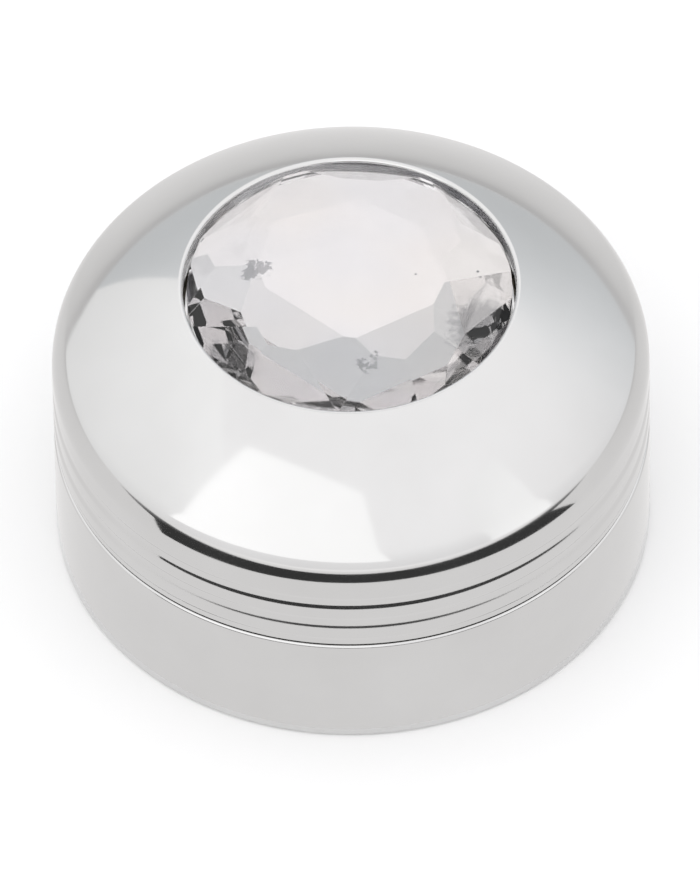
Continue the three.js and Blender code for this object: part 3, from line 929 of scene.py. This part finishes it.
def make_world():
    """Soft light all round: brighter overhead, and dimmer and slightly bluer low down behind."""
    world = bpy.data.worlds.new("soft_studio")
    bpy.context.scene.world = world
    world.use_nodes = True
    tree = world.node_tree
    tree.nodes.clear()
    out = tree.nodes.new("ShaderNodeOutputWorld")
    glow = tree.nodes.new("ShaderNodeBackground")
    hue = tree.nodes.new("ShaderNodeMix")
    hue.data_type = "RGBA"
    ends = [socket for socket in hue.inputs if socket.type == "RGBA"]
    ends[0].default_value = (1.0, 0.995, 1.0, 1.0)
    ends[1].default_value = (0.955, 0.98, 1.0, 1.0)
    place = tree.nodes.new("ShaderNodeTexCoord")
    split = tree.nodes.new("ShaderNodeSeparateXYZ")
    _, y, z = split.outputs

    def ramp(source, low, high, to_low, to_high):
        made = tree.nodes.new("ShaderNodeMapRange")
        made.interpolation_type = "SMOOTHSTEP"
        made.inputs["From Min"].default_value = low
        made.inputs["From Max"].default_value = high
        for name, value in (("To Min", to_low), ("To Max", to_high)):
            if isinstance(value, bpy.types.NodeSocket):
                tree.links.new(value, made.inputs[name])
            else:
                made.inputs[name].default_value = value
        tree.links.new(source, made.inputs["Value"])
        return made.outputs["Result"]

    def product(a, b):
        made = tree.nodes.new("ShaderNodeMath")
        made.operation = "MULTIPLY"
        tree.links.new(a, made.inputs[0])
        tree.links.new(b, made.inputs[1])
        return made.outputs[0]

    overall = ramp(z, 0.0, 0.8, 1.02, 1.22)
    low_back = ramp(z, 0.5, 0.8, 0.74, 1.13)
    back = ramp(y, 0.3, 0.95, 1.0, low_back)
    tree.links.new(place.outputs["Generated"], split.inputs[0])
    tree.links.new(product(overall, back), glow.inputs["Strength"])
    blueness = product(ramp(y, 0.0, 0.9, 0.0, 1.0), ramp(z, 0.5, 0.72, 1.0, 0.0))
    tree.links.new(blueness, hue.inputs["Factor"])
    tree.links.new(next(socket for socket in hue.outputs if socket.type == "RGBA"), glow.inputs["Color"])
    tree.links.new(glow.outputs[0], out.inputs[0])


VIEW_ELEVATION = 48.8          # camera's height above the horizon, in degrees
VIEW_ROLL = -1.03              # how far the picture is turned about its centre
VIEW_DISTANCE_MM = 1800.0
VIEW_HEIGHT_MM = 72.7          # what the long side of the picture covers at the object
AIM_RIGHT_MM = 0.06            # the shoulder's centre from the middle of the picture
AIM_UP_MM = 6.1
SENSOR_MM = 36.0


def make_camera():
    """A long lens, turned by the view's roll, aimed so that the shoulder sits where it should."""
    towards = direction(0, VIEW_ELEVATION)
    right = Vector((1, 0, 0))
    up = towards.cross(right)
    roll = math.radians(VIEW_ROLL)
    camera_right = right * math.cos(roll) + up * math.sin(roll)
    camera_up = up * math.cos(roll) - right * math.sin(roll)
    aim = Vector((0, 0, SHOULDER_Z)) - camera_right * AIM_RIGHT_MM - camera_up * AIM_UP_MM
    data = bpy.data.cameras.new("camera")
    data.sensor_width = SENSOR_MM
    data.lens = SENSOR_MM * VIEW_DISTANCE_MM / VIEW_HEIGHT_MM
    data.clip_start = 0.01
    data.clip_end = 50.0
    camera = bpy.data.objects.new("camera", data)
    basis = Matrix((camera_right, camera_up, towards)).transposed().to_4x4()
    camera.matrix_world = Matrix.Translation((aim + towards * VIEW_DISTANCE_MM) * MM) @ basis
    bpy.context.scene.collection.objects.link(camera)
    bpy.context.scene.camera = camera


def set_light_paths():
    scene = bpy.context.scene
    scene.view_settings.view_transform = "Standard"
    scene.cycles.max_bounces = 16
    scene.cycles.glossy_bounces = 10
    scene.cycles.transmission_bounces = 14
    scene.cycles.use_denoising = True


# ---------------------------------------------------------------- the scene

make_camera()
set_light_paths()
make_world()
make_floor()
make_tent()
make_dark_gap()
make_table_glow()

plating = [bright_plating(), satin_plating()]
steel = ground_steel("tooth_steel", (0.52, 0.53, 0.54), (0.62, 0.63, 0.64))
screw_steel = ground_steel("screw_steel", (0.45, 0.46, 0.47), (0.56, 0.57, 0.58))
magnet_metal = nickel()
aluminium = turned_aluminium()

make_lid_shell([*plating, seat_wall()])
make_base_shell(plating)
make_glide_ring(nylon())
make_jewel(jewel_glass())
make_disc("jewel_foil_mirror", "jewel_foil", "lid", mirror_foil(),
          FOIL_HIGH.x - TOUCH_GAP, FOIL_LOW.z + DISC_FACE_GAP, FOIL_HIGH.z - 2 * DISC_FACE_GAP)
make_disc("jewel_glue_film", "jewel_glue", "lid", cured_glue(),
          GLUE_HIGH.x - TOUCH_GAP, GLUE_LOW.z + DISC_FACE_GAP, GLUE_HIGH.z - DISC_FACE_GAP)
make_tooth_plate(aluminium)
for number, (screw_x, screw_y, _) in enumerate(ring_places(SCREW_RING_R, SCREW_COUNT, 0.0), 1):
    make_screw(number, screw_x, screw_y, screw_steel)
make_disc("lid_magnet_nickel", "lid_magnet", "lid", magnet_metal,
          MAGNET_R, BOSS_END_Z, BOSS_END_Z + MAGNET_THICKNESS, MAGNET_EDGE)
make_disc("base_magnet_nickel", "base_magnet", "base", magnet_metal,
          MAGNET_R, POST_TOP_Z - MAGNET_THICKNESS, POST_TOP_Z, MAGNET_EDGE)
make_teeth(steel)
